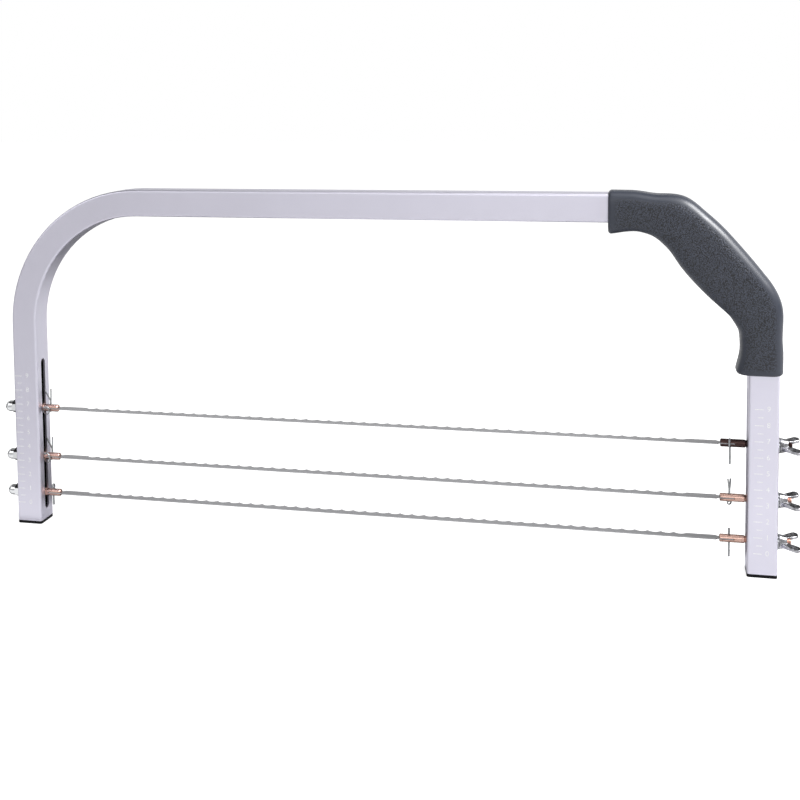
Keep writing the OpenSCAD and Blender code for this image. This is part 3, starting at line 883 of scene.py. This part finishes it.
class LEVELER_OT_rods(bpy.types.Operator):
    """Turn the copper-plated rods, with their thread, sawn slot and pin hole"""
    bl_idname = "leveler.rods"
    bl_label = "Rods"

    def thread(self, radius, start, run):
        """Closed thread along Z from start to run, that rises out of its root at the start."""
        size = sizes()
        steps = 32
        turns = math.ceil((run - start) / size.pitch) + 3
        root = radius - size.thread_depth
        low = start - 1.5 * size.pitch
        outline = [(root, 0), (root, 0.12), (radius, 0.44), (radius, 0.56), (root, 0.88), (root, 1)]
        bm = bmesh.new()
        ridge = chain(bm, [(r, low + share * size.pitch) for r, share in outline])
        bmesh.ops.spin(bm, geom=ridge, cent=(0, 0, 0), axis=(0, 0, 1),
                       dvec=(0, 0, size.pitch / steps), angle=math.tau * turns,
                       steps=steps * turns, use_merge=False)
        bmesh.ops.remove_doubles(bm, verts=bm.verts, dist=0.004 * MM)
        for height, way in ((start, -1), (run, 1)):
            cut = bmesh.ops.bisect_plane(bm, geom=bm.verts[:] + bm.edges[:] + bm.faces[:],
                                         plane_co=(0, 0, height), plane_no=(0, 0, way),
                                         dist=0.001 * MM, clear_outer=True)
            rim = [g for g in cut["geom_cut"] if isinstance(g, bmesh.types.BMEdge)]
            bmesh.ops.holes_fill(bm, edges=rim, sides=0)
        for vert in bm.verts:
            z = vert.co.z
            r = math.hypot(vert.co.x, vert.co.y)
            rise = smooth_step(z, start + 0.6 * MM, start + 1.8 * MM)
            new = min(root + (r - root) * rise, radius - 0.5 * MM + run - z)
            vert.co.x *= new / r
            vert.co.y *= new / r
        bmesh.ops.recalc_face_normals(bm, faces=bm.faces)
        return bm

    def rod(self, name, radius, run, plain, saw, pin_at):
        """A rod along Z from its sawn end at 0 to run, plain up to the length plain."""
        size = sizes()
        edge = 0.4 * MM
        bm = bmesh.new()
        lathe(bm, [(0, 0), (radius - edge, 0), (radius, edge), (radius, plain - edge),
                   (radius - edge, plain), (0, plain)], 48)
        rod = make_object(name, bm, 28)
        past = 1.6 * radius
        slot = block("saw", (-saw / 2, -past, -MM), (saw / 2, past, SAW_DEPTH))
        hole = cylinder("hole", size.pin_shank / 2 + 0.1 * MM, -past, past,
                        Matrix.Translation((0, 0, pin_at)) @ Matrix.Rotation(math.pi / 2, 4, "Y"),
                        24)
        combine(rod, [slot, hole], sharp=28)
        bm = self.thread(radius, plain - MM, run)
        bm.from_mesh(rod.data)
        bmesh.ops.dissolve_degenerate(bm, dist=0.004 * MM, edges=bm.edges)
        bpy.data.objects.remove(rod)
        return make_object(name, bm, 28)

    def execute(self, context):
        bright = copper_plate("copper_plate", 0.25)
        # The copper darkened all over is a painted dark reflection
        dark = copper_plate("copper_dark_reflection", 1.1)
        blade_low, blade_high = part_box("lower_blade")
        for side, way in (("left", -1), ("right", 1)):
            low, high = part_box(f"lower_{side}_rod")
            pin_low, pin_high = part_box(f"lower_{side}_cotter_pin")
            start = high.x if way < 0 else low.x
            master = self.rod("rod", (high.z - low.z) / 2, high.x - low.x,
                              ROD_PLAIN[side], blade_high.z - blade_low.z + 0.2 * MM,
                              abs((pin_low.x + pin_high.x) / 2 - start)).data
            for level in LEVELS:
                low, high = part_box(f"{level}_{side}_rod")
                obj = bpy.data.objects.new(f"{level}_{side}_threaded_rod", master.copy())
                bpy.context.scene.collection.objects.link(obj)
                obj.data.transform(along_x(start, (low.z + high.z) / 2, way))
                # The upper right rod is dark all over: a painted dark reflection
                dark_reflection_rod = level == "upper" and side == "right"
                add_piece(obj, f"{level}_blade_unit", dark if dark_reflection_rod else bright,
                          (f"{level}_{side}_rod",))
            bpy.data.objects.remove(bpy.data.objects["rod"])
        return {"FINISHED"}


class LEVELER_OT_cotter_pins(bpy.types.Operator):
    """Bend the split pins from half-round wire"""
    bl_idname = "leveler.cotter_pins"
    bl_label = "Split Pins"

    def leg(self, half_rod, run, lean, side):
        """Points from one leg's tip to the far face of the rod, with the wire's round side."""
        size = sizes()
        angle = math.radians(lean)
        points = []
        steps = 14
        for k in range(steps + 1):
            out = run * (1 - k / steps)
            free = max(out - size.pin_together, 0.0)
            bent = smooth_step(out, size.pin_together - MM, size.pin_together + MM) * angle
            points.append((Vector((side * free * math.sin(angle), 0,
                                   half_rod + out - free * (1 - math.cos(angle)))),
                           Vector((side * math.cos(bent), 0, -math.sin(bent)))))
        points.append((Vector((0, 0, 0)), Vector((side, 0, 0))))
        points.append((Vector((0, 0, -half_rod)), Vector((side, 0, 0))))
        return points

    def route(self, half_rod, run, leans, pull, eye):
        """Points along the whole wire, leg, eye and leg, with the direction of its round side."""
        opening, steps, neck_steps = 22, 24, 5
        wide, tall = (e / 2 * MM for e in eye[:2])
        slant = Matrix.Rotation(math.radians(eye[2]), 3, "Y")
        centre = Vector((pull[0] * MM, -pull[1] * MM, -half_rod - 0.3 * MM - tall + pull[2] * MM))
        bow = []
        for k in range(steps + 1):
            angle = math.radians(90 - opening - (360 - 2 * opening) * k / steps)
            c, s = math.cos(angle), math.sin(angle)
            bow.append((centre + slant @ Vector((wide * c, 0, tall * s)),
                        slant @ Vector((tall * c, 0, wide * s)).normalized()))
        first = self.leg(half_rod, run, leans[1], 1)
        last = self.leg(half_rod, run, leans[0], -1)
        necks = []
        for (start, round_a), (end, round_b) in ((first[-1], bow[0]), (last[-1], bow[-1])):
            neck = []
            for k in range(1, neck_steps):
                f = k / neck_steps
                down = start + Vector((0, 0, -0.5 * MM))
                point = start * (1 - f) ** 2 + down * (2 * f * (1 - f)) + end * f ** 2
                neck.append((point, round_a.lerp(round_b, f)))
            necks.append(neck)
        return first + necks[0] + bow + necks[1][::-1] + last[::-1]

    def wire(self, bm, route, half):
        """Skins a half-round wire along the route."""
        rings = []
        last = len(route) - 1
        for i, (point, outward) in enumerate(route):
            run = (route[min(i + 1, last)][0] - route[max(i - 1, 0)][0]).normalized()
            out = (outward - run * outward.dot(run)).normalized()
            side = run.cross(out)
            rings.append([point + out * (SPLIT_GAP / 2 + half * math.cos(a))
                          + side * half * math.sin(a)
                          for a in (math.pi * k / 8 - math.pi / 2 for k in range(9))])
        first, final = loft(bm, rings)
        for rim in (first, final):
            bmesh.ops.holes_fill(bm, edges=[e for e in rim if e.is_valid], sides=0)
        finish_mesh(bm, 0.002 * MM)

    def execute(self, context):
        mat = drawn_wire()
        for key, (turn, run, leans, pull, eye, up) in PINS.items():
            level, side = key.split("_")
            low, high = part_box(f"{level}_{side}_cotter_pin")
            rod_low, rod_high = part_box(f"{level}_{side}_rod")
            route = self.route((rod_high.z - rod_low.z) / 2, run * MM, leans, pull, eye)
            bm = bmesh.new()
            self.wire(bm, route, sizes().pin_shank / 2)
            if up < 0:
                bmesh.ops.scale(bm, vec=(1, 1, -1), verts=bm.verts)
                bmesh.ops.reverse_faces(bm, faces=bm.faces)
            bm.transform(Matrix.Translation(((low.x + high.x) / 2, 0, (rod_low.z + rod_high.z) / 2))
                         @ Matrix.Rotation(math.radians(turn), 4, "Z"))
            add_piece(make_object(f"{key}_split_pin", bm, 50), f"{level}_blade_unit",
                      mat, (f"{key}_cotter_pin",))
        return {"FINISHED"}


class LEVELER_OT_washers(bpy.types.Operator):
    """Turn the washers at both legs"""
    bl_idname = "leveler.washers"
    bl_label = "Washers"

    def execute(self, context):
        mat = bright_plate()
        for level in LEVELS:
            for side in SIDES:
                low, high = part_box(f"{level}_{side}_washer")
                outer, thick = (high.z - low.z) / 2, high.x - low.x
                inner, edge = WASHER_BORE_R, 0.18 * MM
                bm = bmesh.new()
                lathe(bm, [(inner, edge), (inner + edge, 0), (outer - edge, 0), (outer, edge),
                           (outer, thick - edge), (outer - edge, thick), (inner + edge, thick),
                           (inner, thick - edge), (inner, edge)], 64)
                bm.transform(along_x(low.x, (low.z + high.z) / 2))
                body = f"{level}_washer" if side == "right" else f"{level}_blade_unit"
                add_piece(make_object(f"{level}_{side}_round_washer", bm, 30), body,
                          mat, (f"{level}_{side}_washer",))
        return {"FINISHED"}


class LEVELER_OT_nuts(bpy.types.Operator):
    """Finish the acorn nuts and cast the wing nuts"""
    bl_idname = "leveler.nuts"
    bl_label = "Nuts"

    def wing(self, root, root_r, tip, tip_r, turn):
        """One wing: two linked rounds in the plane of the axis, thinner at the tip."""
        bm = bmesh.new()
        thick = (sizes().wing_t, sizes().wing_tip_t)
        for ((x, z), r), t in zip(((root, root_r), (tip, tip_r)), thick):
            for y in (-t / 2, t / 2):
                ring = bmesh.ops.create_circle(bm, segments=32, radius=r)["verts"]
                bmesh.ops.rotate(bm, verts=ring, cent=(0, 0, 0),
                                 matrix=Matrix.Rotation(math.pi / 2, 3, "X"))
                bmesh.ops.translate(bm, verts=ring, vec=(x, y, z))
        bmesh.ops.convex_hull(bm, input=bm.verts)
        bmesh.ops.recalc_face_normals(bm, faces=bm.faces)
        bm.transform(Matrix.Rotation(turn, 4, "Z"))
        return make_object("wing", bm)

    def wing_nut(self, name, height):
        """A wing nut along Z from its seat at 0, with its wings in the XZ plane."""
        hub_h = 0.4 * height
        base_r = 0.47 * HUB_D
        top_r = 0.8 * base_r
        tip_r = 0.21 * height
        bm = bmesh.new()
        lathe(bm, [(0, 0), (base_r - 0.3 * MM, 0), (base_r, 0.3 * MM), (top_r, hub_h - 0.4 * MM),
                   (top_r - 0.4 * MM, hub_h), (0, hub_h)], 48)
        nut = make_object(name, bm)
        tip = (WING_REACH - tip_r, height - tip_r)
        wings = [self.wing((top_r - 0.4 * MM, hub_h / 2), 0.36 * hub_h, tip, tip_r, a)
                 for a in (0, math.pi)]
        combine(nut, wings, "UNION")
        remesh = nut.modifiers.new("cast", "REMESH")
        remesh.mode = "VOXEL"
        remesh.voxel_size = 0.16 * MM
        soften = nut.modifiers.new("soften", "SMOOTH")
        soften.factor = 0.5
        soften.iterations = 10
        apply_modifiers(nut, 180)
        bore = cylinder("bore", NUT_BORE_R, -MM, height)
        combine(nut, [bore], sharp=45)
        return nut

    def execute(self, context):
        bright, cast = bpy.data.materials["bright_plate"], cast_plate()
        for level in LEVELS:
            finish_node(f"{level}_acorn_nut", bright)
            low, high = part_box(f"{level}_wing_nut")
            nut = self.wing_nut(f"{level}_cast_wing_nut", high.x - low.x)
            nut.data.transform(Matrix.Rotation(sizes().wing_turn - math.pi / 2, 4, "Z"))
            nut.data.transform(along_x(low.x, (low.z + high.z) / 2))
            add_piece(nut, f"{level}_nut", cast, (f"{level}_wing_nut",))
        return {"FINISHED"}


class LEVELER_OT_stage(bpy.types.Operator):
    """Set the floor, the soft studio light and the camera"""
    bl_idname = "leveler.stage"
    bl_label = "Stage"

    def bare_material(self, name):
        """A material with no nodes yet."""
        mat = bpy.data.materials.new(name)
        mat.use_nodes = True
        mat.node_tree.nodes.clear()
        return mat

    def pale(self, mat, seen, unseen):
        """Shows one shader to the camera, and another to the rest."""
        path = add_node(mat, "LightPath")
        mix = add_node(mat, "MixShader")
        link(mat, path.outputs["Is Camera Ray"], mix.inputs[0])
        link(mat, unseen, mix.inputs[1])
        link(mat, seen, mix.inputs[2])
        return mix.outputs["Shader"]

    def floor(self):
        """A wide pale floor that keeps a soft shadow."""
        bm = bmesh.new()
        bmesh.ops.create_grid(bm, x_segments=2, y_segments=2, size=6.0)
        floor = make_object("floor", bm)
        mat = self.bare_material("pale_floor")
        matte, plain = (add_node(mat, "BsdfDiffuse", Color=(tone, tone, tone, 1))
                        for tone in (FLOOR_SEEN, FLOOR_UNSEEN))
        glow = add_node(mat, "Emission", Strength=FLOOR_GLOW)
        both = add_node(mat, "AddShader")
        link(mat, matte.outputs["BSDF"], both.inputs[0])
        link(mat, glow.outputs["Emission"], both.inputs[1])
        out = add_node(mat, "OutputMaterial")
        link(mat, self.pale(mat, both.outputs["Shader"], plain.outputs["BSDF"]),
             out.inputs["Surface"])
        floor.data.materials.append(mat)

    def card(self, name, place, target, width, height, grey):
        """A plain card beside the set, that shows only in reflections."""
        bm = bmesh.new()
        bmesh.ops.create_grid(bm, x_segments=1, y_segments=1, size=0.5)
        bmesh.ops.scale(bm, vec=(width, height, 1), verts=bm.verts)
        face = (Vector(target) - Vector(place)).to_track_quat("-Z", "Y").to_matrix().to_4x4()
        bm.transform(Matrix.Translation(place) @ face)
        card = make_object(name, bm)
        mat = self.bare_material(name)
        tone = add_node(mat, "Emission", Strength=grey)
        out = add_node(mat, "OutputMaterial")
        link(mat, tone.outputs["Emission"], out.inputs["Surface"])
        card.data.materials.append(mat)
        card.visible_camera = card.visible_diffuse = card.visible_shadow = False
        card.visible_transmission = card.visible_volume_scatter = False

    def world(self):
        """A white surround for the eye, and a plain level of light for the rest."""
        world = bpy.data.worlds.new("studio")
        bpy.context.scene.world = world
        world.use_nodes = True
        world.node_tree.nodes.clear()
        white = (1, 1, 1, 1)
        seen, unseen = (add_node(world, "Background", Color=white, Strength=s).outputs["Background"]
                        for s in (WORLD_SEEN, WORLD_UNSEEN))
        out = add_node(world, "OutputWorld")
        link(world, self.pale(world, seen, unseen), out.inputs["Surface"])

    def softbox(self, name, place, target, width, height, power):
        """A rectangular lamp that faces the target."""
        lamp = bpy.data.lights.new(name, "AREA")
        lamp.shape = "RECTANGLE"
        lamp.size, lamp.size_y = width, height
        lamp.energy = power
        obj = bpy.data.objects.new(name, lamp)
        obj.location = place
        obj.rotation_euler = (Vector(target) - Vector(place)).to_track_quat("-Z", "Y").to_euler()
        bpy.context.scene.collection.objects.link(obj)

    def camera(self):
        """The photograph's camera, worked out from the tube's edges, the feet and the scale."""
        pixels, focal, centre_u, centre_v = 800, 1236.4, 360, 180
        yaw, pitch, roll = (math.radians(a) for a in (13.124, -4.235, 0.654))
        data = bpy.data.cameras.new("camera")
        data.sensor_width = 36
        data.lens = focal / pixels * data.sensor_width
        data.shift_x = (pixels / 2 - centre_u) / pixels
        data.shift_y = (centre_v - pixels / 2) / pixels
        cam = bpy.data.objects.new("camera", data)
        cam.location = (174.9 * MM, -783.9 * MM, 302.6 * MM)
        turn = (Matrix.Rotation(yaw, 3, "Z") @ Matrix.Rotation(pitch, 3, "X")
                @ Matrix.Rotation(roll, 3, "Y") @ Matrix.Rotation(math.pi / 2, 3, "X"))
        cam.rotation_euler = turn.to_euler()
        bpy.context.scene.collection.objects.link(cam)
        bpy.context.scene.camera = cam

    def execute(self, context):
        self.floor()
        self.world()
        for lamp in LAMPS:
            self.softbox(*lamp)
        for card in CARDS:
            self.card(*card)
        self.camera()
        context.scene.view_settings.view_transform = "Standard"
        return {"FINISHED"}


class LEVELER_PT_panel(bpy.types.Panel):
    """The leveler's sizes, colours and pieces"""
    bl_idname = "LEVELER_PT_panel"
    bl_label = "Cake Leveler"
    bl_space_type = "VIEW_3D"
    bl_region_type = "UI"
    bl_category = "Leveler"

    def draw(self, context):
        for group in (sizes(), colours()):
            box = self.layout.box()
            for name in group.__annotations__:
                box.prop(group, name)
        for operator in OPERATORS:
            self.layout.operator(operator.bl_idname)


OPERATORS = (
    LEVELER_OT_tube, LEVELER_OT_scale, LEVELER_OT_grip, LEVELER_OT_screws, LEVELER_OT_blades,
    LEVELER_OT_rods, LEVELER_OT_cotter_pins, LEVELER_OT_washers, LEVELER_OT_nuts, LEVELER_OT_stage,
)
CLASSES = (LevelerSizes, LevelerColours, *OPERATORS, LEVELER_PT_panel)


def register():
    for cls in CLASSES:
        bpy.utils.register_class(cls)
    bpy.types.Scene.leveler_sizes = PointerProperty(type=LevelerSizes)
    bpy.types.Scene.leveler_colours = PointerProperty(type=LevelerColours)


def unregister():
    del bpy.types.Scene.leveler_colours
    del bpy.types.Scene.leveler_sizes
    for cls in reversed(CLASSES):
        bpy.utils.unregister_class(cls)


def main():
    register()
    for operator in OPERATORS:
        group, name = operator.bl_idname.split(".")
        getattr(getattr(bpy.ops, group), name)()


if __name__ == "__main__":
    main()
